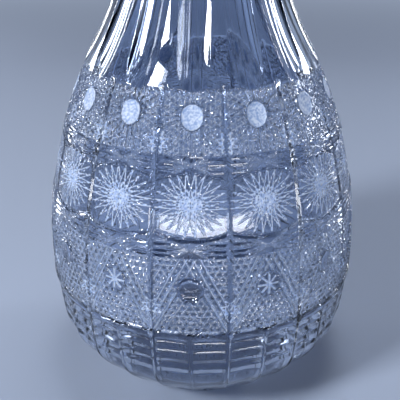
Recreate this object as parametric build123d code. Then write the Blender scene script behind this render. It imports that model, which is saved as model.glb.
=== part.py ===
from build123d import *
import os
from math import asin, cos, degrees, radians, sin, sqrt

# A cut crystal vase, 300 mm tall: one blown and cut piece of clear lead crystal.
# Millimetres, +Z up, origin at the middle of the base. A panel of the pattern faces -Y.

# ---- Driving sizes of the blank -------------------------------------------------------
HEIGHT = 300.0          # base to the tips of the rim
BELLY_R = 75.0          # widest radius, outside
BELLY_Z = 66.0          # height of the widest place
BELLY_ARC_R = 205.0     # radius of the long barrel curve of the body
WAIST_R = 29.0          # narrowest radius of the neck, outside
WAIST_ARC_R = 131.0     # radius of the hollow curve of the neck
FOOT_R = 41.0           # radius of the flat the vase stands on
HEEL_Z = 30.0           # height at which the heel meets the barrel curve
HEEL_BULGE = 1.6        # how far the heel swells out of a straight cone
HEEL_FILLET = 14.0      # rounding between the heel and the barrel curve
WALL = 6.5              # thickness of the blown wall
FLOOR = 22.0            # thickness of the solid base
CAVITY_FILLET = 12.0    # rounding of the cavity's bottom corner

# ---- Driving sizes of the cutting -----------------------------------------------------
PANELS = 14             # panels of the pattern round the body
MITRE_DEPTH = 1.6       # deep V cuts that part the panels
MITRE_ANGLE = 90.0      # included angle of the V
MITRE_LOW_Z = 36.0
MITRE_HIGH_Z = 163.0
FLUTE_DEPTH = 1.6       # hollow flutes of the neck, one to a panel
FLUTE_RIDGE = 0.6       # land left between two flutes at the waist
HEEL_FLUTES_PER_PANEL = 2
HEEL_FLUTE_R = 9.0      # radius of the hollow flutes of the heel
HEEL_FLUTE_DEPTH = 0.9
OLIVE_Z = 149.0         # row of matt oval hollows under the neck
OLIVE_LENGTH = 10.0
OLIVE_WIDTH = 8.0
OLIVE_DEPTH = 1.0
WINDOW_Z = 115.5        # clear windows that hold the stars, bowed above and below
WINDOW_HEIGHT = 26.0
WINDOW_WIDTH = 26.5
WINDOW_BOW = 3.0
WINDOW_DEPTH = 0.7
BUTTON_Z = 81.0         # row of round lenses, and of buttons with a ring groove
LENS_R = 5.5
LENS_DEPTH = 0.9
BUTTON_R = 5.5
RING_DEPTH = 0.8
RIM_TONGUE_R = 14.0     # radius of the rounded tongues of the rim, one to a panel
BASE_RAYS = 28          # rays of the star under the base
BASE_RAY_LENGTH = 30.0
BASE_RAY_MID_R = 19.0   # radius at which a ray is deepest
BASE_RAY_DEPTH = 0.9

# ---- Sizes worked out from them -------------------------------------------------------
PITCH = 360.0 / PANELS
FRONT = -90.0                                  # direction of the panel that faces -Y
RELIEF = 5.0                                   # how far cutters stand clear of the glass
BELLY_CENTRE_R = BELLY_R - BELLY_ARC_R         # centre of the barrel curve
WAIST_CENTRE_R = WAIST_R + WAIST_ARC_R         # centre of the neck's curve
CENTRES_RUN = WAIST_CENTRE_R - BELLY_CENTRE_R
CENTRES_REACH = BELLY_ARC_R + WAIST_ARC_R      # the two curves touch where this is met
WAIST_Z = BELLY_Z + sqrt(CENTRES_REACH**2 - CENTRES_RUN**2)


def barrel_r(z, inset=0.0):
    """Radius of the body's barrel curve at a height, inset by some depth of glass."""
    return BELLY_CENTRE_R + sqrt((BELLY_ARC_R - inset) ** 2 - (z - BELLY_Z) ** 2)


def neck_r(z, inset=0.0):
    """Radius of the neck's hollow curve at a height."""
    return WAIST_CENTRE_R - sqrt((WAIST_ARC_R + inset) ** 2 - (z - WAIST_Z) ** 2)


def barrel_to_neck(inset=0.0):
    """The point where the barrel curve runs into the neck's curve."""
    share = (BELLY_ARC_R - inset) / CENTRES_REACH
    run = share * CENTRES_RUN
    rise = share * (WAIST_Z - BELLY_Z)
    return (BELLY_CENTRE_R + run, BELLY_Z + rise)


def wall_curve(low_z, top_z, inset=0.0):
    """The body and neck outline from low_z to top_z, as two arcs that touch."""
    joint = barrel_to_neck(inset)
    mid_z = (low_z + joint[1]) / 2
    body = ThreePointArc((barrel_r(low_z, inset), low_z), (barrel_r(mid_z, inset), mid_z), joint)
    mid_z = (top_z + joint[1]) / 2
    neck = ThreePointArc(joint, (neck_r(mid_z, inset), mid_z), (neck_r(top_z, inset), top_z))
    return body + neck


def half_section():
    """Half of the blank's section, on the XZ plane, with the cavity left out."""
    heel_top = (barrel_r(HEEL_Z), HEEL_Z)
    heel_run, heel_rise = heel_top[0] - FOOT_R, HEEL_Z
    heel_length = sqrt(heel_run**2 + heel_rise**2)
    heel_mid = (
        FOOT_R + heel_run / 2 + HEEL_BULGE * heel_rise / heel_length,
        heel_rise / 2 - HEEL_BULGE * heel_run / heel_length,
    )
    outside = Line((0, 0), (FOOT_R, 0)) + ThreePointArc((FOOT_R, 0), heel_mid, heel_top)
    outside += wall_curve(HEEL_Z, HEIGHT)
    outside += Line((neck_r(HEIGHT), HEIGHT), (0, HEIGHT)) + Line((0, HEIGHT), (0, 0))
    solid_part = make_face(outside)
    heel_corner = solid_part.vertices().sort_by_distance(Vector(*heel_top))[0]
    solid_part = fillet(heel_corner, HEEL_FILLET)

    over = HEIGHT + RELIEF
    hollow = Line((0, FLOOR), (barrel_r(FLOOR, WALL), FLOOR)) + wall_curve(FLOOR, over, WALL)
    hollow += Line((neck_r(over, WALL), over), (0, over)) + Line((0, over), (0, FLOOR))
    cavity = make_face(hollow)
    floor_corner = cavity.vertices().sort_by_distance(Vector(barrel_r(FLOOR, WALL), FLOOR))[0]
    cavity = fillet(floor_corner, CAVITY_FILLET)
    return Plane.XZ * (solid_part - cavity)


def turned(cutter, angle):
    """A cutter made in the plane of +X, turned to its direction round the vase."""
    return Rot(0, 0, angle) * cutter


def panel_angles(offset=0.0, per_panel=1):
    """Directions of what repeats round the vase; offset is in panels from the front one."""
    return [FRONT + PITCH * (offset + step / per_panel) for step in range(PANELS * per_panel)]


def wheel(profile, centre_r, centre_z, sweep=360.0, start=0.0):
    """A cutting wheel: its rim's profile turned about a level axis that crosses the plane of +X."""
    axle = Axis((centre_r, 0, centre_z), (0, -1, 0))
    return revolve(profile.rotate(axle, start), axle, sweep)


def mitre_cutters():
    """V cuts along the barrel curve, of one depth all the way."""
    half_width = (MITRE_DEPTH + RELIEF) / cos(radians(MITRE_ANGLE / 2)) * sin(radians(MITRE_ANGLE / 2))
    root = barrel_r(BELLY_Z) - MITRE_DEPTH
    edge = Polyline((root, 0), (BELLY_R + RELIEF, half_width), (BELLY_R + RELIEF, -half_width), close=True)
    profile = Pos(0, 0, BELLY_Z) * make_face(edge)
    low = degrees(asin((MITRE_LOW_Z - BELLY_Z) / BELLY_ARC_R))
    high = degrees(asin((MITRE_HIGH_Z - BELLY_Z) / BELLY_ARC_R))
    cutter = wheel(profile, BELLY_CENTRE_R, BELLY_Z, high - low, low)
    return [turned(cutter, angle) for angle in panel_angles(0.5)]


def neck_flute_cutters():
    """Round-edged wheel cuts up the neck, as wide as a panel at the waist."""
    half_width = WAIST_R * sin(radians(PITCH / 2)) - FLUTE_RIDGE / 2
    edge_r = (half_width**2 + FLUTE_DEPTH**2) / (2 * FLUTE_DEPTH)
    # the wheel follows the neck's curve, FLUTE_DEPTH inside it
    rim_centre = WAIST_R - FLUTE_DEPTH + edge_r
    profile = Pos(rim_centre, 0, WAIST_Z) * Circle(edge_r)
    cutter = wheel(profile, WAIST_CENTRE_R, WAIST_Z)
    return [turned(cutter, angle) for angle in panel_angles()]


def heel_flute_cutters():
    """Round flutes straight down the heel, running out on the barrel curve and the foot."""
    foot, top = Vector(FOOT_R, 0, 0), Vector(barrel_r(HEEL_Z), 0, HEEL_Z)
    along = (top - foot).normalized()
    outward = Vector(along.Z, 0, -along.X)
    reach = (top - foot).length
    start = foot - along * reach + outward * (HEEL_BULGE + HEEL_FLUTE_R - HEEL_FLUTE_DEPTH)
    cutter = Plane(origin=start, z_dir=along) * Cylinder(
        HEEL_FLUTE_R, 3 * reach, align=(Align.CENTER, Align.CENTER, Align.MIN)
    )
    offset = 0.5 / HEEL_FLUTES_PER_PANEL
    return [turned(cutter, angle) for angle in panel_angles(offset, HEEL_FLUTES_PER_PANEL)]


def olive_cutters():
    """Oval hollows, each the bite of a small round-edged wheel."""
    edge_r = (OLIVE_WIDTH / 2) ** 2 / (2 * OLIVE_DEPTH)
    wheel_r = (OLIVE_LENGTH / 2) ** 2 / (2 * OLIVE_DEPTH)
    lean = asin((OLIVE_Z - BELLY_Z) / BELLY_ARC_R)
    reach = BELLY_ARC_R - OLIVE_DEPTH + wheel_r
    centre_r = BELLY_CENTRE_R + reach * cos(lean)
    centre_z = BELLY_Z + reach * sin(lean)
    profile = Pos(centre_r - wheel_r + edge_r, 0, centre_z) * Circle(edge_r)
    half = make_face(Polyline((centre_r, -edge_r), (centre_r - wheel_r, -edge_r),
                              (centre_r - wheel_r, edge_r), (centre_r, edge_r), close=True))
    rim = profile & (Pos(0, 0, centre_z) * half)
    cutter = wheel(rim, centre_r, centre_z)
    return [turned(cutter, angle) for angle in panel_angles()]


def barrel_shell(depth, low_z, high_z):
    """A ring that holds the outermost depth of the barrel, to limit a cut to that depth."""
    mid_z = (low_z + high_z) / 2
    inner = ThreePointArc(*[(barrel_r(z, depth), z) for z in (low_z, mid_z, high_z)])
    outline = inner + Polyline(
        (barrel_r(high_z, depth), high_z), (BELLY_R + RELIEF, high_z),
        (BELLY_R + RELIEF, low_z), (barrel_r(low_z, depth), low_z),
    )
    return revolve(Plane.XZ * make_face(outline), Axis.Z)


def window_cutters():
    """Windows between the mitres, sunk by one depth below the barrel."""
    half_height, half_width = WINDOW_HEIGHT / 2, WINDOW_WIDTH / 2
    corner = half_height - WINDOW_BOW
    outline = ThreePointArc((-half_width, -corner), (0, -half_height), (half_width, -corner))
    outline += Line((half_width, -corner), (half_width, corner))
    outline += ThreePointArc((half_width, corner), (0, half_height), (-half_width, corner))
    outline += Line((-half_width, corner), (-half_width, -corner))
    looking_in = Plane(origin=(0, 0, WINDOW_Z), x_dir=(0, 1, 0), z_dir=(1, 0, 0))
    prism = extrude(looking_in * make_face(outline), BELLY_R + RELIEF)
    cutter = prism & barrel_shell(WINDOW_DEPTH, WINDOW_Z - half_height - 1, WINDOW_Z + half_height + 1)
    return [turned(cutter, angle) for angle in panel_angles()]


def every_other(angles, first):
    return angles[first::2]


def lens_cutters():
    """Round polished hollows on every second panel, the front one first."""
    ball_r = (LENS_R**2 + LENS_DEPTH**2) / (2 * LENS_DEPTH)
    cutter = Pos(barrel_r(BUTTON_Z) - LENS_DEPTH + ball_r, 0, BUTTON_Z) * Sphere(ball_r)
    return [turned(cutter, angle) for angle in every_other(panel_angles(), 0)]


def button_cutters():
    """V ring grooves that leave a round button, on the panels between."""
    root = barrel_r(BUTTON_Z) - RING_DEPTH
    top = root + RING_DEPTH + 1
    edge = Polyline((root, BUTTON_R), (top, BUTTON_R + top - root), (top, BUTTON_R - top + root), close=True)
    profile = Pos(0, 0, BUTTON_Z) * make_face(edge)
    cutter = revolve(profile, Axis((0, 0, BUTTON_Z), (1, 0, 0)))
    return [turned(cutter, angle) for angle in every_other(panel_angles(), 1)]


def rim_cutter():
    """What is ground away to leave rounded tongues round the rim."""
    band = 2 * (HEIGHT - barrel_to_neck()[1]) / PANELS
    ring = Pos(0, 0, HEIGHT - band) * Cylinder(
        BELLY_R, band + RELIEF, align=(Align.CENTER, Align.CENTER, Align.MIN)
    )
    tongue = Pos(0, 0, HEIGHT - RIM_TONGUE_R) * Rot(0, 90, 0) * Cylinder(
        RIM_TONGUE_R, BELLY_R + RELIEF, align=(Align.CENTER, Align.CENTER, Align.MIN)
    )
    for angle in panel_angles():
        ring -= turned(tongue, angle)
    return ring


def base_star_cutters():
    """Rays under the base, each the bite of a large V-edged wheel, deepest half way out."""
    wheel_r = (BASE_RAY_LENGTH / 2) ** 2 / (2 * BASE_RAY_DEPTH)
    centre_z = BASE_RAY_DEPTH - wheel_r
    v_depth = BASE_RAY_DEPTH + 1
    edge = Polyline((wheel_r, 0), (wheel_r - v_depth, v_depth), (wheel_r - v_depth, -v_depth), close=True)
    profile = Pos(BASE_RAY_MID_R, 0, centre_z) * make_face(edge)
    half_sweep = degrees(asin((BASE_RAY_LENGTH / 2 + 1) / wheel_r))
    cutter = wheel(profile, BASE_RAY_MID_R, centre_z, 2 * half_sweep, 90 - half_sweep)
    step = 360.0 / BASE_RAYS
    return [turned(cutter, FRONT + step * (count + 0.5)) for count in range(BASE_RAYS)]


def vase():
    """The one piece of glass: the blank with every cut taken out of it."""
    glass = revolve(half_section(), Axis.Z)
    for cutters in (
        neck_flute_cutters(), heel_flute_cutters(), window_cutters(), mitre_cutters(),
        olive_cutters(), lens_cutters(), button_cutters(), [rim_cutter()], base_star_cutters(),
    ):
        glass = glass - cutters
    return glass


def main():
    os.makedirs("parts", exist_ok=True)
    glass = vase()
    box = glass.bounding_box()
    print("vase_body", "solids", len(glass.solids()), "volume cm3", round(glass.volume / 1000, 1))
    print("box", box.min, box.max, "waist at", round(WAIST_Z, 1))
    export_step(glass, "parts/vase_body.step")


main()
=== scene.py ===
# %% [markdown]
# # A cut crystal vase
# The vase is one piece of lead crystal: blown, annealed, then cut with stone wheels and polished.
# We lay its pattern out as a cutter would, on a strip two panels wide, and repeat the strip round the axis.

# %% Load the measured model and the tools
import math
import bpy
import numpy as np
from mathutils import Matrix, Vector


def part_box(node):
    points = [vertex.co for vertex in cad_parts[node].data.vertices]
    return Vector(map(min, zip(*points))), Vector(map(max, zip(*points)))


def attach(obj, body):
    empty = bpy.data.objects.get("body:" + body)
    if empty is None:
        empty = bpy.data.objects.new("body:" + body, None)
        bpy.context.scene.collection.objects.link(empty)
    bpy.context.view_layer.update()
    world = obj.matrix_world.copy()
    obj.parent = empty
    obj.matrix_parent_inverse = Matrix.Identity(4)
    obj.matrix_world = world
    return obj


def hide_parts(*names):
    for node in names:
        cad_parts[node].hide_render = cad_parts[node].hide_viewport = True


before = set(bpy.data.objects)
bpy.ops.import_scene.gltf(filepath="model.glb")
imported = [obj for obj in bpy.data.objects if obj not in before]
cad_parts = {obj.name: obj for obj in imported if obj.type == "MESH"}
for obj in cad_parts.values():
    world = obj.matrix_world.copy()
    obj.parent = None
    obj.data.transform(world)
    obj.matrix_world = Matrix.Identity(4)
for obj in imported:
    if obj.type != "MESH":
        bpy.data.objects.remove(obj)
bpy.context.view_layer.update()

low, high = (Vector(corner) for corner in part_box("vase_body"))
print("glass, mm:", [round(1000 * side, 1) for side in high - low])

# %% [markdown]
# ## The blank
# A glass blower turns the gather in a wet wooden block, so the outline is a few long arcs.
# The body is one barrel curve and the neck one hollow curve that touches it.
# We work in millimetres, because cutting wheels are sized so, and turn to metres at the end.

# %% Sizes of the blank
MM = 0.001
HEIGHT = (high.z - low.z) / MM
BELLY_R = (high.y - low.y) / 2 / MM
BELLY_Z = 66.0
BELLY_ARC = 205.0
WAIST_R = 29.0
WAIST_ARC = 131.0
FOOT_R = 41.0
HEEL_Z = 30.0
HEEL_BULGE = 1.6
WALL = 6.5
FLOOR = 22.0
PANELS = 14
STRIP_PANELS = 2                                  # one lens panel and one button panel
FRONT = math.radians(-90.0)
BELLY_CENTRE = BELLY_R - BELLY_ARC
WAIST_CENTRE = WAIST_R + WAIST_ARC
WAIST_Z = BELLY_Z + math.sqrt((BELLY_ARC + WAIST_ARC) ** 2 - (WAIST_CENTRE - BELLY_CENTRE) ** 2)
JOINT_LEAN = math.atan2(WAIST_Z - BELLY_Z, WAIST_CENTRE - BELLY_CENTRE)
print("waist at", round(WAIST_Z, 1), "mm")


# %% The outline as arcs
def arc(centre, radius, start, end, step):
    """Points along an arc from one angle to another, spaced by about step."""
    count = max(2, int(abs(end - start) * radius / step) + 1)
    angles = np.linspace(start, end, count)
    return np.stack([centre[0] + radius * np.cos(angles), centre[1] + radius * np.sin(angles)], 1)


def straight(start, end, step):
    """Points along a straight line, spaced by about step."""
    count = max(2, int(math.dist(start, end) / step) + 1)
    share = np.linspace(0, 1, count)[:, None]
    return np.array(start) * (1 - share) + np.array(end) * share


def barrel_lean(z, inset=0.0):
    """Angle on the barrel's arc at a height."""
    return math.asin((z - BELLY_Z) / (BELLY_ARC - inset))


def neck_lean(z, inset=0.0):
    """Angle on the neck's arc, whose centre stands outside the glass."""
    return math.pi - math.asin((z - WAIST_Z) / (WAIST_ARC + inset))


def body_and_neck(from_z, to_z, inset, fine, coarse):
    """The wall's outline upward: the barrel, then the neck's hollow curve."""
    barrel = arc((BELLY_CENTRE, BELLY_Z), BELLY_ARC - inset, barrel_lean(from_z, inset), JOINT_LEAN, fine)
    neck = arc((WAIST_CENTRE, WAIST_Z), WAIST_ARC + inset,
               math.pi + JOINT_LEAN, neck_lean(to_z, inset), coarse)
    return barrel, neck


def heel_curve(step):
    """The heel swells a little out of a cone, and is rounded where it meets the barrel."""
    foot = np.array([FOOT_R, 0.0])
    top = np.array([BELLY_CENTRE + math.sqrt(BELLY_ARC**2 - (HEEL_Z - BELLY_Z) ** 2), HEEL_Z])
    along = (top - foot) / np.linalg.norm(top - foot)
    out = np.array([along[1], -along[0]])
    share = np.linspace(0, 1, int(np.linalg.norm(top - foot) / step))[:, None]
    return foot + (top - foot) * share + out * HEEL_BULGE * 4 * share * (1 - share)


# %% [markdown]
# ## One closed path
# The path runs from the middle of the base, out to the foot, up the outside, over the rim
# and down the inside to the middle of the cavity's floor. Turned round the axis, it closes
# by itself. Rows stand close together only where the pattern is cut.

# %% Build the path
FINE, COARSE = 0.45, 2.2                          # row spacing on the pattern and on the neck
BASE_STEP, HEEL_STEP = 1.4, 0.9
INNER_BARREL_STEP, INNER_NECK_STEP, CAVITY_STEP = 2.2, 3.0, 3.5
CAVITY_FLAT_R = 51.0                              # the cavity's floor is flat out to here
BEND_RISE, BEND_PULL, BEND_ROWS = 16.0, 1.5, 9    # its rounded corner
base_rows = straight((0.0, 0.0), (FOOT_R, 0.0), BASE_STEP)
heel_rows = heel_curve(HEEL_STEP)
barrel_rows, neck_rows = body_and_neck(HEEL_Z, HEIGHT, 0.0, FINE, COARSE)
inner_barrel, inner_neck = body_and_neck(FLOOR + BEND_RISE, HEIGHT, WALL,
                                         INNER_BARREL_STEP, INNER_NECK_STEP)
floor_corner = inner_barrel[0]
corner_share = np.linspace(0, 1, BEND_ROWS)[:, None]
floor_bend = (
    (1 - corner_share) ** 2 * np.array([CAVITY_FLAT_R, FLOOR])
    + 2 * corner_share * (1 - corner_share) * np.array([floor_corner[0] - BEND_PULL, FLOOR])
    + corner_share**2 * floor_corner
)
inside_rows = np.concatenate([
    inner_neck[::-1], inner_barrel[::-1][1:], floor_bend[::-1][1:],
    straight((CAVITY_FLAT_R, FLOOR), (0.0, FLOOR), CAVITY_STEP)[1:],
])
outside_rows = np.concatenate([base_rows, heel_rows[1:], barrel_rows[1:], neck_rows[1:]])

# ease the corner between heel and barrel by averaging the rows beside it
EASE_ROUNDS, EASE_BELOW, EASE_ABOVE = 60, 10, 15
heel_top = len(base_rows) + len(heel_rows) - 2
for _ in range(EASE_ROUNDS):
    beside = outside_rows[heel_top - EASE_BELOW:heel_top + EASE_ABOVE]
    beside[1:-1] = (beside[:-2] + beside[2:]) / 2
path = np.concatenate([outside_rows, inside_rows])
steps = np.gradient(path, axis=0)
normals = np.stack([steps[:, 1], -steps[:, 0]], 1)
normals /= np.linalg.norm(normals, axis=1)[:, None]
foot_row, rim_row = len(base_rows) - 1, len(outside_rows) - 1
print("path rows:", len(path), "of which outside:", len(outside_rows))

# %% [markdown]
# ## Laying out the pattern
# The cutter first paints guide lines on the blank: a line up each mitre and rings round the body.
# We do the same with numbers. `across` is the distance from a panel's middle line, and
# `up` the distance along the wall, both in millimetres on the glass.

# %% Guide lines on the strip
PANEL_COLUMNS = 72
POLE_R = 0.5                                      # keeps shares finite where the path meets the axis
# in turns, 0 is a panel's middle and 1 a mitre
turns = np.linspace(-1, 2 * STRIP_PANELS - 1, PANEL_COLUMNS * STRIP_PANELS + 1)
in_panel = (turns + 1) % 2 - 1
in_panel[-1] = 1.0
odd_panel = (turns > 1.0)[None, :]
height = path[:, 1][:, None] + 0 * turns[None, :]
half_panel = np.maximum(path[:, 0], POLE_R)[:, None] * math.pi / PANELS
across = in_panel[None, :] * half_panel
outside = (np.arange(len(path)) > foot_row)[:, None] & (np.arange(len(path)) < rim_row)[:, None]


def up_from(z):
    """Distance along the barrel from the ring at height z."""
    lean = np.arcsin(np.clip((height - BELLY_Z) / BELLY_ARC, -1, 1))
    return BELLY_ARC * (lean - barrel_lean(z))


def between(z_low, z_high, fade=0.8):
    """1 between two rings, running out to 0 over a short fade."""
    rise = np.clip((height - z_low) / fade + 0.5, 0, 1)
    return rise * np.clip((z_high - height) / fade + 0.5, 0, 1)


def v_cut(distance, half_width, depth):
    """The bite of a V-edged wheel that passes at some distance."""
    return depth * np.clip(1 - np.abs(distance) / half_width, 0, 1)


def round_cut(distance, half_width, depth):
    """The bite of a round-edged wheel."""
    return depth * np.sqrt(np.clip(1 - (distance / half_width) ** 2, 0, 1))


def line_between(x, y, start, end):
    """Distance of every point of the strip from a straight cut."""
    run = np.array(end) - np.array(start)
    share = np.clip(((x - start[0]) * run[0] + (y - start[1]) * run[1]) / (run @ run), 0, 1)
    return np.hypot(x - start[0] - share * run[0], y - start[1] - share * run[1])


# %% [markdown]
# ## The cuts
# A cut never adds glass: at each point the deepest wheel wins. Two sheets are kept,
# the depth of the cut and how matt it is left. The stars and the olives stay matt from the
# stone, the lace and the pyramids only at the root of each V; the mitres, flutes and rungs
# are dipped in acid and come out bright.

# %% Two sheets and the way a cut is put on them
cut_depth = np.zeros_like(height)
matt = np.zeros_like(height)
FULL_MATT_DEPTH = 0.12                            # a bite this deep is matt all over
LEAST_BITE = 0.01
ROOT, BROAD_ROOT = 3, 2                           # powers that keep the matt to the bottom of a V


def cut(bite, mattness=0.0, where=1.0, root_only=0):
    """Puts a cut on the sheets; with root_only, just the bottom of the V is left matt."""
    global cut_depth, matt
    if root_only:
        share = np.clip(bite / max(bite.max(), LEAST_BITE), 0, 1) ** root_only
    else:
        share = np.clip(bite / FULL_MATT_DEPTH, 0, 1)
    bite = bite * where * outside
    matt = np.where(bite > cut_depth, mattness * share, matt)
    cut_depth = np.maximum(cut_depth, bite)


# %% Lace: three families of fine V cuts that leave small points standing
LACE_PITCH, LOW_LACE_PITCH = 2.0, 2.6
LACE_DEPTH, LACE_HALF_WIDTH = 0.8, 0.46           # the half width is a share of the pitch
RING_HALF_WIDTH, RING_DEPTH = 0.6, 0.5


def lace(z_low, z_high, pitch=LACE_PITCH, leans=(0, 60, 120), mattness=0.5):
    """Crossed cuts in a band, each family leaning by so many degrees."""
    ring = up_from((z_low + z_high) / 2)
    for lean in leans:
        way = across * math.cos(math.radians(lean)) + ring * math.sin(math.radians(lean))
        distance = (np.abs((way / pitch) % 1 - 0.5)) * pitch
        cut(v_cut(distance, pitch * LACE_HALF_WIDTH, LACE_DEPTH), mattness, between(z_low, z_high), ROOT)


LACE_TOP, UNDER_OLIVES, LADDER_TOP, WINDOW_TOP = 158.0, 143.0, 135.0, 128.5
WINDOW_LOW, LADDER_LOW, LACE_LOW = 102.5, 94.5, 60.0
lace(LADDER_TOP, LACE_TOP)
lace(LACE_LOW, LADDER_LOW, LOW_LACE_PITCH, (30, 90, 150))
for ring_z in (LACE_TOP, UNDER_OLIVES, LADDER_TOP):
    cut(v_cut(up_from(ring_z), RING_HALF_WIDTH, RING_DEPTH))

# %% [markdown]
# ## Olives, ladders and windows
# The olive is one bite of a small round-edged stone, left matt, with short rays round it.
# The ladders are short straight rungs each side of a panel with crossed lines between. The
# window is a clear, slightly sunk field bowed at top and bottom.

# %% Clear fields are cleaned of lace before their own cuts
OLIVE_Z, OLIVE_HALF_WIDTH, OLIVE_HALF_LENGTH, OLIVE_DEPTH = 149.0, 4.3, 5.0, 0.9
OLIVE_CLEAR, RAY_START = 1.12, 1.15               # in olive half widths
RAY_TURN, RAY_HALF_WIDTH, RAY_DEPTH = math.pi / 10, 0.9, 1.35
BUTTON_Z, BUTTON_R = 81.0, 5.4
WINDOW_Z, WINDOW_BOW, WINDOW_DEPTH = 115.5, 3.0, 0.6
WINDOW_SLOPE, EDGE_OUT, EDGE_HALF_WIDTH, EDGE_DEPTH = 0.6, 0.3, 1.1, 1.1


def clear(region):
    """Glass where the lace stops short."""
    global cut_depth, matt
    cut_depth = np.where(region, 0.0, cut_depth)
    matt = np.where(region, 0.0, matt)


olive = np.hypot(across / OLIVE_HALF_WIDTH, up_from(OLIVE_Z) / OLIVE_HALF_LENGTH)
olive_ray = np.arctan2(up_from(OLIVE_Z), across) / RAY_TURN
ray_off_olive = np.abs((olive_ray + 0.5) % 1 - 0.5) * RAY_TURN * np.hypot(across, up_from(OLIVE_Z))
ray_field = between(LADDER_TOP + 1, LACE_TOP) * (olive > RAY_START)
cut(v_cut(ray_off_olive, RAY_HALF_WIDTH, RAY_DEPTH), 0.35, ray_field, BROAD_ROOT)
clear(olive < OLIVE_CLEAR)
cut(round_cut(olive, 1.0, OLIVE_DEPTH), 1.0)

bow = WINDOW_BOW * (1 - (across / half_panel) ** 2)
window_half = (WINDOW_TOP - WINDOW_LOW) / 2
inside_window = window_half - WINDOW_BOW + bow - np.abs(up_from(WINDOW_Z))
clear(outside & (inside_window > 0))
cut(WINDOW_DEPTH * np.clip(inside_window / WINDOW_SLOPE, 0, 1))
cut(v_cut(inside_window + EDGE_OUT, EDGE_HALF_WIDTH, EDGE_DEPTH))

RUNG_START, RUNG_FADE, RUNG_HALF_WIDTH, RUNG_DEPTH = 0.42, 0.06, 0.85, 0.75
NET_SLOPE, NET_REACH, NET_RISE, NET_HALF_WIDTH, NET_DEPTH = 0.45, 0.62, 3.6, 0.5, 0.4
rung = np.clip((np.abs(across) / half_panel - RUNG_START) / RUNG_FADE, 0, 1)
for ring_z in (134.2, 131.6, 129.2, 101.0, 98.4, 96.0):
    cut(v_cut(up_from(ring_z), RUNG_HALF_WIDTH, RUNG_DEPTH), 0.0, rung * (inside_window < 0))
for middle in (131.8, 98.4):
    net_field = (np.abs(across) < half_panel * NET_REACH) * (np.abs(up_from(middle)) < NET_RISE)
    for side in (-1, 1):
        for spread in (0.35, 0.75, 1.15):
            slant = up_from(middle) - side * spread * across * NET_SLOPE
            cut(v_cut(slant, NET_HALF_WIDTH, NET_DEPTH), 0.2, net_field * (inside_window < 0))

# %% [markdown]
# ## The stars
# Each window holds a star of 24 points. From every point two hair-thin lines run to the
# far side and just miss the middle, so the middle is a woven net. One line is a thin stone
# drawn once across the glass, and it stays matt.

# %% Cut the stars
def star(ring_z, middle, half_height, half_width, points, step, line_half_width, depth, where=1.0):
    """Lines from each point of the star to the one that is step points round."""
    star_up = up_from(ring_z)
    star_across = (across - middle) * half_height / half_width
    for point in range(points):
        ends = []
        for place in (point + 0.5, point + 0.5 + step):
            turn = 2 * math.pi * place / points
            ends.append(half_height * np.array([math.cos(turn), math.sin(turn)]))
        line = v_cut(line_between(star_across, star_up, *ends), line_half_width, depth)
        cut(line, 1.0, where)


STAR_Z = WINDOW_Z + 1.0
star(STAR_Z, 0.0, half_height=13.0, half_width=0.97 * half_panel, points=24, step=11,
     line_half_width=0.42, depth=WINDOW_DEPTH + 0.5)
star(STAR_Z, 0.0, half_height=6.5, half_width=7.2, points=16, step=7,
     line_half_width=0.3, depth=WINDOW_DEPTH + 0.4)
star(STAR_Z, 0.0, half_height=2.6, half_width=2.8, points=8, step=4,
     line_half_width=0.3, depth=WINDOW_DEPTH + 0.4)
SMALL_STAR_R, SMALL_STAR_DEPTH = 4.6, 1.4
for side in (-1, 1):
    for ring_z, line_half_width, field in ((139.5, 0.4, between(LADDER_TOP, LACE_TOP)),
                                           (71.0, 0.5, between(LACE_LOW, LADDER_LOW))):
        star(ring_z, side * half_panel, SMALL_STAR_R, SMALL_STAR_R, 8, 3,
             line_half_width, SMALL_STAR_DEPTH, field)

# %% [markdown]
# ## Lenses, buttons and the pyramids round them
# Every second panel has a round polished lens inside a pyramid of crossed lines, and the
# panels between have a button with a wheel of eight spokes.

# %% Cut the lower band
LENS_INSET, LENS_DEPTH = 0.9, 0.9
SPOKE_TURN, SPOKE_HALF_WIDTH, SPOKE_DEPTH = math.pi / 4, 0.55, 0.6
PYRAMID_RUN, PYRAMID_HALF_WIDTH, PYRAMID_DEPTH = 15.5, 1.15, 1.6
button = np.hypot(across, up_from(BUTTON_Z))
clear(outside & (button < BUTTON_R + 0.6))
cut(v_cut(button - BUTTON_R, 0.8, 0.8))
cut(round_cut(button, BUTTON_R - LENS_INSET, LENS_DEPTH), 0.0, ~odd_panel)
spoke_angle = np.arctan2(up_from(BUTTON_Z), across)
spoke_offset = np.abs(((spoke_angle / SPOKE_TURN) + 0.5) % 1 - 0.5) * SPOKE_TURN * button
cut(v_cut(spoke_offset, SPOKE_HALF_WIDTH, SPOKE_DEPTH), 0.8, odd_panel & (button < BUTTON_R))
pyramid_field = between(LACE_LOW, LADDER_LOW) * (button > BUTTON_R + 0.4)
for side in (-1, 1):
    for foot_z, tip_z in ((64.0, 95.0), (70.0, 101.0), (58.0, 88.0)):
        slope = (tip_z - foot_z) / PYRAMID_RUN
        slanted = (up_from(foot_z) - slope * (side * across + half_panel)) / math.hypot(1, slope)
        cut(v_cut(slanted, PYRAMID_HALF_WIDTH, PYRAMID_DEPTH), 0.9, pyramid_field, ROOT)

# %% [markdown]
# ## Border, heel and mitres
# Long arcs cross in a border under the lace. Below it two hollow flutes to a panel run down
# the heel, stepped by short level cuts that catch the light. The mitres go last and deepest.

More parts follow.
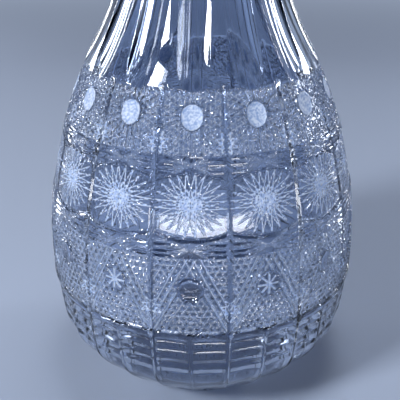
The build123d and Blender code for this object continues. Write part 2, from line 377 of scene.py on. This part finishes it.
# %% Cut the border, the heel flutes and the mitres
BORDER_Z, BORDER_SWING, BORDER_HALF_WIDTH, BORDER_DEPTH = 62.5, 3.2, 0.7, 0.8
HEEL_FLUTE_TOP, HEEL_FLUTE_DEPTH, HEEL_OVERLAP = 58.0, 1.5, 1.06
HEEL_V_HALF_WIDTH, STEP_HALF_WIDTH, STEP_DEPTH, STEP_REACH = 1.1, 1.6, 0.7, 0.86
MITRE_HALF_WIDTH, MITRE_DEPTH, MITRE_LOW, MITRE_TOP, MITRE_FADE = 1.7, 1.7, 3.0, 159.0, 3.0
for phase in (0.0, 1.0):
    for rise in (0.0, 2.6):
        wave = up_from(BORDER_Z + rise) - BORDER_SWING * np.cos(math.pi * (in_panel[None, :] + phase))
        cut(v_cut(wave, BORDER_HALF_WIDTH, BORDER_DEPTH), 0.0, between(56.0, 70.0))
half_flute = half_panel / 2
flute_across = np.abs(across) - half_flute
heel_field = np.clip((HEEL_FLUTE_TOP - height) / 4.0, 0, 1) * np.clip(height / 2.5, 0, 1)
cut(round_cut(flute_across, half_flute * HEEL_OVERLAP, HEEL_FLUTE_DEPTH), 0.0, heel_field)
cut(v_cut(across, HEEL_V_HALF_WIDTH, HEEL_FLUTE_DEPTH), 0.0, heel_field)
heel_base = cut_depth.copy()
flute_floor = np.abs(flute_across) < half_flute * STEP_REACH
for ring_z in (38.0, 44.0, 49.5, 54.5):           # the level cuts go in from the flute's own floor
    level = v_cut(up_from(ring_z), STEP_HALF_WIDTH, STEP_DEPTH) * flute_floor
    cut_depth = np.where(outside, np.maximum(cut_depth, (heel_base + level) * (level > 0)), cut_depth)
mitre = half_panel - np.abs(across)
cut(v_cut(mitre, MITRE_HALF_WIDTH, MITRE_DEPTH), 0.0, between(MITRE_LOW, MITRE_TOP, MITRE_FADE))
print("deepest cut:", round(float(cut_depth.max()), 2), "mm; bad points:", int(np.isnan(cut_depth).sum()))

# %% [markdown]
# ## Neck flutes and rim
# A big wheel hollows one broad flute up the neck over each panel. It follows the neck's
# curve a little inside the glass and so runs out by itself on the shoulder, in a scallop.
# The rim is then ground to a rounded tongue over each flute.

# %% Cut the neck flutes
FLUTE_DEPTH, FLUTE_RIDGE, FLUTES_ABOVE = 1.6, 0.3, 150.0
flute_half = WAIST_R * math.sin(math.pi / PANELS) - FLUTE_RIDGE
flute_edge_r = (flute_half**2 + FLUTE_DEPTH**2) / (2 * FLUTE_DEPTH)
wheel_reach = np.sqrt(np.clip((WAIST_ARC + FLUTE_DEPTH) ** 2 - (height - WAIST_Z) ** 2, 0, None))
run_in = path[:, 0][:, None] - (WAIST_CENTRE - wheel_reach)
lift = flute_edge_r - np.sqrt(np.clip(flute_edge_r**2 - across**2, 0, None))
cut(np.clip(run_in - lift, 0, None), 0.0, height > FLUTES_ABOVE)

# %% Cut the star under the base
BASE_RAYS, BASE_RAY_MID_R, BASE_RAY_HALF, BASE_RAY_DEPTH = 28, 19.0, 15.0, 0.9
radius = path[:, 0][:, None] + 0 * turns[None, :]
ray_turn = (turns[None, :] * BASE_RAYS / (2 * PANELS)) % 1 - 0.5
ray_off = np.abs(ray_turn) * 2 * math.pi / BASE_RAYS * radius
ray_depth = BASE_RAY_DEPTH * np.clip(1 - ((radius - BASE_RAY_MID_R) / BASE_RAY_HALF) ** 2, 0, 1)
on_base = (np.arange(len(path)) < foot_row)[:, None]
cut_depth = np.maximum(cut_depth, np.where(on_base, np.clip(ray_depth - ray_off, 0, None), 0))

# %% [markdown]
# ## From sheet to solid strip
# Each point moves into the glass by its cut depth, square to the surface. Near the rim the
# rows also dip between the tongues.

# %% Make the strip's mesh
RIM_TONGUE_R, RIM_ZONE = 14.0, 30.0
angle = FRONT + turns * math.pi / PANELS
point_r = path[:, 0][:, None] - normals[:, 0][:, None] * cut_depth
point_z = path[:, 1][:, None] - normals[:, 1][:, None] * cut_depth
rim_across = in_panel * neck_rows[-1][0] * math.pi / PANELS
rim_dip = RIM_TONGUE_R - np.sqrt(RIM_TONGUE_R**2 - rim_across**2)
near_rim = np.clip((path[:, 1] - (HEIGHT - RIM_ZONE)) / RIM_ZONE, 0, 1)[:, None] ** 2
point_z = point_z - near_rim * rim_dip[None, :]
point_r = np.clip(point_r, 0, None)
points = np.stack([point_r * np.cos(angle), point_r * np.sin(angle), point_z], -1) * MM
rows, columns = points.shape[:2]
index = np.arange(rows * columns).reshape(rows, columns)
quads = np.stack([index[:-1, :-1], index[:-1, 1:], index[1:, 1:], index[1:, :-1]], -1).reshape(-1, 4)
print("points that are not numbers:", int(np.isnan(points).sum()))
strip_mesh = bpy.data.meshes.new("cut_strip")
strip_mesh.from_pydata(points.reshape(-1, 3).tolist(), [], quads.tolist())
matt_sheet = strip_mesh.attributes.new("matt", "FLOAT", "POINT")
matt_sheet.data.foreach_set("value", matt.reshape(-1).astype(np.float32))
strip = bpy.data.objects.new("cut_strip", strip_mesh)
bpy.context.collection.objects.link(strip)
print("strip quads:", len(quads))

# %% [markdown]
# ## Materials
# Lead crystal is clear glass with about 24 percent lead oxide, IOR 1.545. The polished cuts
# are as smooth as the blank; stars and olives are as the stone left them, matt and paler.

# %% Colour and node helpers
def linear(hex_colour):
    """An sRGB hex colour as linear red, green, blue and a full alpha."""
    parts = [int(hex_colour[place:place + 2], 16) / 255 for place in (1, 3, 5)]
    return [p / 12.92 if p <= 0.04045 else ((p + 0.055) / 1.055) ** 2.4 for p in parts] + [1.0]


def add_node(tree, kind, links=None, **settings):
    """Adds a node, sets its properties, and links its inputs by name or number."""
    node = tree.nodes.new(kind)
    for name, value in settings.items():
        setattr(node, name, value)
    for name, source in (links or {}).items():
        tree.links.new(source, node.inputs[name])
    return node


# %% Lead crystal, wheel cut
CRYSTAL_IOR, STONE_ROUGHNESS = 1.545, 0.42
GRIT_PER_METRE = 1100.0                           # stone grit, drawn near 1 mm so that it shows


def cut_lead_crystal():
    """Clear glass, polished in the cuts; matt stone marks scatter light and look pale."""
    material = bpy.data.materials.new("cut_lead_crystal")
    material.use_nodes = True
    tree = material.node_tree
    tree.nodes.clear()
    mark = add_node(tree, "ShaderNodeAttribute", attribute_name="matt")
    place = add_node(tree, "ShaderNodeTexCoord")
    grain = add_node(tree, "ShaderNodeTexNoise", {"Vector": place.outputs["Object"]})
    grain.inputs["Scale"].default_value = GRIT_PER_METRE
    rough = add_node(tree, "ShaderNodeMapRange", {"Value": mark.outputs["Fac"]})
    rough.inputs["To Min"].default_value = 0.0
    rough.inputs["To Max"].default_value = STONE_ROUGHNESS
    grit_height = add_node(tree, "ShaderNodeMath", {0: grain.outputs["Fac"], 1: mark.outputs["Fac"]},
                           operation="MULTIPLY")
    bump = add_node(tree, "ShaderNodeBump", {"Height": grit_height.outputs[0]})
    bump.inputs["Distance"].default_value = 0.0001
    bump.inputs["Strength"].default_value = 0.5
    clear_glass = add_node(tree, "ShaderNodeBsdfPrincipled",
                           {"Roughness": rough.outputs["Result"], "Normal": bump.outputs["Normal"]})
    clear_glass.inputs["Base Color"].default_value = linear("#D3DDEE")
    clear_glass.inputs["IOR"].default_value = CRYSTAL_IOR
    clear_glass.inputs["Transmission Weight"].default_value = 1.0
    stone_mark = add_node(tree, "ShaderNodeBsdfPrincipled")
    tone = add_node(tree, "ShaderNodeValToRGB", {"Fac": grain.outputs["Fac"]})
    deep, pale = tone.color_ramp.elements
    deep.position, deep.color = 0.38, linear("#8CA8D6")
    pale.position, pale.color = 0.62, linear("#D6E2F6")
    tree.links.new(tone.outputs["Color"], stone_mark.inputs["Base Color"])
    stone_mark.inputs["Roughness"].default_value = 0.6
    stone_mark.inputs["IOR"].default_value = CRYSTAL_IOR
    share = add_node(tree, "ShaderNodeMath", {0: mark.outputs["Fac"]}, operation="MULTIPLY")
    share.inputs[1].default_value = 0.9
    mix = add_node(tree, "ShaderNodeMixShader", {0: share.outputs[0], 1: clear_glass.outputs[0],
                                                 2: stone_mark.outputs[0]})
    add_node(tree, "ShaderNodeOutputMaterial", {"Surface": mix.outputs[0]})
    return material


crystal = cut_lead_crystal()


# %% [markdown]
# ## Repeating the strip
# Geometry Nodes turn the strip round the axis, once for every two panels, weld the seams
# and the poles, and give the whole its material. The result is kept as a plain mesh.

# %% The repeating tree
def repeat_tree(material):
    """A strip, turned Count times round the axis and welded."""
    tree = bpy.data.node_groups.new("repeat_round_axis", "GeometryNodeTree")
    tree.interface.new_socket("Geometry", in_out="INPUT", socket_type="NodeSocketGeometry")
    tree.interface.new_socket("Count", in_out="INPUT", socket_type="NodeSocketInt")
    tree.interface.new_socket("Weld", in_out="INPUT", socket_type="NodeSocketFloat")
    tree.interface.new_socket("Geometry", in_out="OUTPUT", socket_type="NodeSocketGeometry")
    given = add_node(tree, "NodeGroupInput")
    places = add_node(tree, "GeometryNodePoints", {"Count": given.outputs["Count"]})
    number = add_node(tree, "GeometryNodeInputIndex")
    step = add_node(tree, "ShaderNodeMath", {1: given.outputs["Count"]}, operation="DIVIDE")
    step.inputs[0].default_value = 2 * math.pi
    turn = add_node(tree, "ShaderNodeMath", {0: number.outputs[0], 1: step.outputs[0]}, operation="MULTIPLY")
    spin = add_node(tree, "ShaderNodeCombineXYZ", {"Z": turn.outputs[0]})
    copies = add_node(tree, "GeometryNodeInstanceOnPoints",
                      {"Points": places.outputs[0], "Instance": given.outputs["Geometry"],
                       "Rotation": spin.outputs[0]})
    real = add_node(tree, "GeometryNodeRealizeInstances", {"Geometry": copies.outputs[0]})
    weld = add_node(tree, "GeometryNodeMergeByDistance",
                    {"Geometry": real.outputs[0], "Distance": given.outputs["Weld"]})
    dress = add_node(tree, "GeometryNodeSetMaterial", {"Geometry": weld.outputs[0]})
    dress.inputs["Material"].default_value = material
    add_node(tree, "NodeGroupOutput", {"Geometry": dress.outputs[0]})
    return tree


WELD = 0.00001                                    # metres
tree = repeat_tree(crystal)
modifier = strip.modifiers.new("repeat", "NODES")
modifier.node_group = tree
sockets = {item.name: item.identifier for item in tree.interface.items_tree if item.in_out == "INPUT"}
modifier[sockets["Count"]] = PANELS // STRIP_PANELS
modifier[sockets["Weld"]] = WELD
evaluated = strip.evaluated_get(bpy.context.evaluated_depsgraph_get())
vase_mesh = bpy.data.meshes.new_from_object(evaluated)
vase_mesh.name = "cut_crystal_vase"
vase = bpy.data.objects.new("cut_crystal_vase", vase_mesh)
bpy.context.collection.objects.link(vase)
bpy.data.objects.remove(strip)
print("vase faces:", len(vase_mesh.polygons))

# %% [markdown]
# ## Smooth where it is blown, crisp where it is cut
# The neck, the heel, the inside and the base stay smooth. The cut field keeps flat facets,
# which is what makes it sparkle.

# %% Choose smooth and flat faces
FACETS_FROM, FACET_SKIN = LACE_LOW - 4, 0.5
face_count = len(vase_mesh.polygons)
centres = np.zeros(face_count * 3)
vase_mesh.polygons.foreach_get("center", centres)
centres = centres.reshape(-1, 3) / MM
face_r = np.hypot(centres[:, 0], centres[:, 1])
barrel_r = BELLY_CENTRE + np.sqrt(np.clip(BELLY_ARC**2 - (centres[:, 2] - BELLY_Z) ** 2, 0, None))
in_band = (centres[:, 2] < LACE_TOP) & (centres[:, 2] > FACETS_FROM)
cut_field = in_band & (face_r > barrel_r - WALL / 2 - FACET_SKIN)
vase_mesh.polygons.foreach_set("use_smooth", ~cut_field)
vase_mesh.update()
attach(vase, "root")
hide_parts("vase_body")

# %% [markdown]
# ## Table, light and camera
# A pale, cool floor and soft boxes. Tall boxes at the sides, a little behind the glass, draw
# its edges; a low strip in front lights the heel.

# %% Floor
# metres from the vase: where the paper starts and ends its turn to wall, and its half side
NEAR_FLOOR, FAR_FLOOR, FLOOR_REACH = 0.7, 1.8, 6.0


def floor_material():
    """Pale matt paper; far from the vase it glows as a lit studio wall, but lights nothing."""
    material = bpy.data.materials.new("pale_paper")
    material.use_nodes = True
    tree = material.node_tree
    sheet = tree.nodes["Principled BSDF"]
    sheet.inputs["Base Color"].default_value = linear("#A9B7D0")
    sheet.inputs["Roughness"].default_value = 0.8
    place = add_node(tree, "ShaderNodeTexCoord")
    distance = add_node(tree, "ShaderNodeVectorMath", {0: place.outputs["Object"]}, operation="LENGTH")
    far = add_node(tree, "ShaderNodeMapRange", {"Value": distance.outputs["Value"]})
    far.inputs["From Min"].default_value = NEAR_FLOOR
    far.inputs["From Max"].default_value = FAR_FLOOR
    ray = add_node(tree, "ShaderNodeLightPath")
    seen = add_node(tree, "ShaderNodeMath",
                    {0: ray.outputs["Is Camera Ray"], 1: ray.outputs["Is Glossy Ray"]},
                    operation="MAXIMUM")
    seen = add_node(tree, "ShaderNodeMath", {0: seen.outputs[0], 1: ray.outputs["Is Transmission Ray"]},
                    operation="MAXIMUM")
    share = add_node(tree, "ShaderNodeMath", {0: seen.outputs[0], 1: far.outputs["Result"]},
                     operation="MULTIPLY")
    glow = add_node(tree, "ShaderNodeEmission")
    glow.inputs["Color"].default_value = linear("#AEBCD4")
    mix = add_node(tree, "ShaderNodeMixShader",
                   {0: share.outputs[0], 1: sheet.outputs[0], 2: glow.outputs[0]})
    tree.links.new(mix.outputs[0], tree.nodes["Material Output"].inputs["Surface"])
    return material


floor_mesh = bpy.data.meshes.new("floor")
floor_corners = [(x * FLOOR_REACH, y * FLOOR_REACH, low.z) for x, y in ((-1, -1), (1, -1), (1, 1), (-1, 1))]
floor_mesh.from_pydata(floor_corners, [], [(0, 1, 2, 3)])
floor = bpy.data.objects.new("floor", floor_mesh)
floor_mesh.materials.append(floor_material())
bpy.context.collection.objects.link(floor)


# %% Lamps
AIM = Vector((0, 0, 0.12))


def soft_box(name, place, size, power, through_glass=True):
    """A lamp aimed at the vase. The overhead one is kept out of the view through the glass."""
    lamp = bpy.data.lights.new(name, "AREA")
    lamp.shape, lamp.size, lamp.size_y, lamp.energy = "RECTANGLE", size[0], size[1], power
    holder = bpy.data.objects.new(name, lamp)
    holder.location = place
    holder.visible_camera = False
    holder.visible_transmission = through_glass
    holder.rotation_euler = (AIM - Vector(place)).to_track_quat("-Z", "Y").to_euler()
    bpy.context.collection.objects.link(holder)


soft_box("key", (-0.75, -0.75, 0.85), (0.25, 0.25), 12.0)
soft_box("rim_right", (0.9, 0.5, 0.3), (0.12, 0.4), 3.0)
soft_box("rim_left", (-0.9, 0.6, 0.3), (0.12, 0.4), 2.5)
soft_box("low_front", (0.1, -0.8, 0.05), (1.0, 0.08), 2.5)
soft_box("top", (0.1, 0.1, 1.3), (0.4, 0.4), 5.0, through_glass=False)

# %% [markdown]
# The room is pale near the horizon and deep blue overhead. Clear glass has no colour of its
# own, so its facets need something dark to bend into view beside the pale floor.

# %% Room
def studio_world():
    """A sky that runs from a pale wall to a dark ceiling, by height alone."""
    world = bpy.data.worlds.new("studio")
    world.use_nodes = True
    tree = world.node_tree
    way = add_node(tree, "ShaderNodeTexCoord")
    split = add_node(tree, "ShaderNodeSeparateXYZ", {0: way.outputs["Generated"]})
    ramp = add_node(tree, "ShaderNodeValToRGB", {"Fac": split.outputs["Z"]})
    wall, ceiling = ramp.color_ramp.elements
    wall.position, wall.color = 0.14, linear("#BFCBE0")
    ceiling.position, ceiling.color = 0.34, linear("#0C1530")
    sky = tree.nodes["Background"]
    sky.inputs["Strength"].default_value = 0.8
    tree.links.new(ramp.outputs["Color"], sky.inputs["Color"])
    return world


bpy.context.scene.world = studio_world()

# %% Camera
FOCAL, SENSOR, SIDE_SHIFT, PITCH = 60.2, 36.0, -0.005, math.radians(25.5)
CAMERA_REACH, CAMERA_Z, CAMERA_TURN = 303.0 * MM, 231.0 * MM, math.radians(3.85)
lens = bpy.data.cameras.new("camera")
lens.lens, lens.sensor_width, lens.shift_x = FOCAL, SENSOR, SIDE_SHIFT
lens.clip_start = 0.01
camera = bpy.data.objects.new("camera", lens)
camera.location = (CAMERA_REACH * math.sin(CAMERA_TURN), -CAMERA_REACH * math.cos(CAMERA_TURN), CAMERA_Z)
camera.rotation_euler = (math.pi / 2 - PITCH, 0, CAMERA_TURN)
bpy.context.collection.objects.link(camera)
bpy.context.scene.camera = camera
bpy.context.scene.view_settings.view_transform = "Standard"
